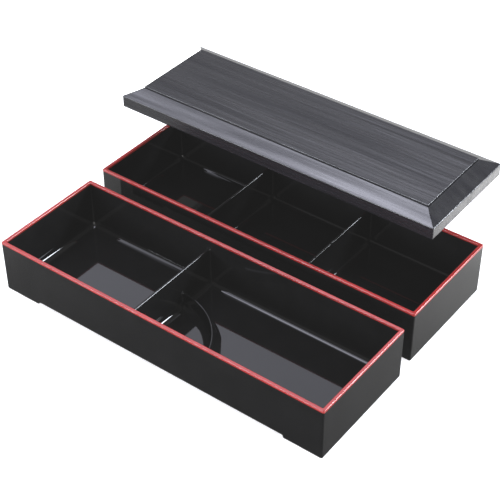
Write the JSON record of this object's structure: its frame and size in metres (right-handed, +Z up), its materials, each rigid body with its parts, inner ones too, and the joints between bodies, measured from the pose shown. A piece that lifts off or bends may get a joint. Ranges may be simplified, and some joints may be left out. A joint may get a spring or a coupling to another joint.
{
  "type": "two-tier lunch box",
  "caption": "Slim stackable rectangular lunch box: open compartment boxes with fixed dividers and coloured rim bands, and a bevelled wood-grain lid that lifts off.",
  "frame": {"origin": "on the resting surface, under the middle of the bounding box of both boxes and the raised lid", "axes": "+X along the boxes' long sides, +Y from the lower (front) box to the upper (rear) box, +Z up"},
  "size_m": [0.285, 0.2382, 0.0904],
  "materials": {
    "box_gloss_black": "polished black lacquer-like plastic",
    "rim_red": "semi-gloss red edge band",
    "lid_satin_black": "satin black with a fine moulded wood grain along X"
  },
  "bodies": {
    "lower_tier": {"lower_box": "box_gloss_black", "lower_rim": "rim_red"},
    "upper_tier": {"upper_box": "box_gloss_black", "upper_rim": "rim_red"},
    "cover": {"lid": "lid_satin_black"}
  },
  "joints": [
    {"name": "upper_tier_lift", "type": "slide", "parent": "lower_tier", "child": "upper_tier", "axis": [0, 0, 1], "range_m": [0, 0.12]},
    {"name": "lid_lift", "type": "slide", "parent": "upper_tier", "child": "cover", "axis": [-0.2217, 0.7494, 0.6239], "range_m": [-0.05097, 0.05]}
  ]
}
